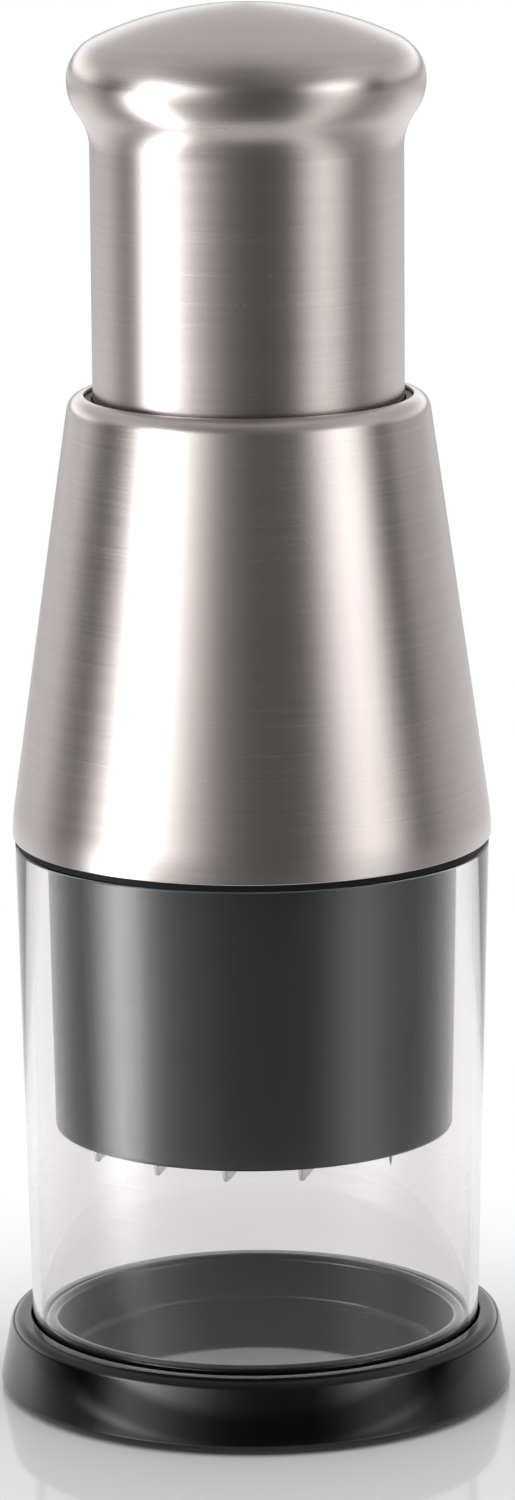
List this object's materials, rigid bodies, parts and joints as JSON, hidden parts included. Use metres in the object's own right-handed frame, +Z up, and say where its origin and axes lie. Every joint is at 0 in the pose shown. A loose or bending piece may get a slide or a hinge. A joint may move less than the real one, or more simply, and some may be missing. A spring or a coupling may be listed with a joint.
{
  "type": "plunger food chopper",
  "caption": "Hand food chopper: a sprung knob drives a folded blade down inside a clear cup onto a dished base.",
  "frame": {"origin": "centre of the rubber foot's underside, on the axis", "axes": "+Z up along the axis from the foot to the knob, -Y towards the viewer of the front"},
  "size_m": [0.088, 0.088, 0.2378],
  "materials": {
    "base_black": "high gloss moulded",
    "foot_rubber": "matt moulded",
    "cup_clear": "clear moulded acrylic",
    "seal_black": "satin",
    "guard_charcoal": "satin moulded",
    "brushed_steel": "fine round brushing, satin",
    "liner_black": "moulded",
    "screw_steel": "plain",
    "index_natural": "moulded acetal",
    "insert_brass": "machined",
    "spring_steel": "drawn wire",
    "carrier_grey": "moulded",
    "blade_steel": "rolled, ground edge",
    "wiper_grey": "moulded"
  },
  "bodies": {
    "base": {"base_cap": "base_black", "foot_ring": "foot_rubber"},
    "cup": {"clear_cup": "cup_clear"},
    "head": {"seal_ring": "seal_black", "blade_guard": "guard_charcoal", "cone_shell": "brushed_steel", "housing_liner": "liner_black", "housing_screws": "screw_steel", "guide_plate": "liner_black"},
    "plunger": {"knob_shell": "brushed_steel", "knob_core": "liner_black", "index_crown": "index_natural", "threaded_insert": "insert_brass", "axle_bolt": "screw_steel", "axle_washer": "screw_steel", "return_spring": "spring_steel"},
    "rotor": {"index_spindle": "index_natural", "blade_carrier": "carrier_grey", "blade_retainer": "carrier_grey", "retainer_screws": "screw_steel", "folded_blade": "blade_steel"},
    "wiper": {"wiper_disc": "wiper_grey"}
  },
  "joints": [
    {"name": "cup_lift", "type": "slide", "parent": "base", "child": "cup", "axis": [0, 0, 1], "range_m": [0, 0.025]},
    {"name": "head_lift", "type": "slide", "parent": "cup", "child": "head", "axis": [0, 0, 1], "range_m": [0, 0.06]},
    {"name": "plunger_press", "type": "slide", "parent": "head", "child": "plunger", "axis": [0, 0, -1], "range_m": [0, 0.03835], "stiffness_N_per_m": 300, "springref_m": -0.02, "deforming": ["return_spring"]},
    {"name": "blade_index", "type": "hinge", "parent": "plunger", "child": "rotor", "pos_m": [0, 0, 0], "axis": [0, 0, 1], "continuous": true},
    {"name": "wiper_turn", "type": "hinge", "parent": "head", "child": "wiper", "pos_m": [0, 0, 0], "axis": [0, 0, 1], "continuous": true}
  ],
  "couplings": [
    {"joint": "wiper_turn", "follows": "blade_index", "ratio": 1}
  ]
}
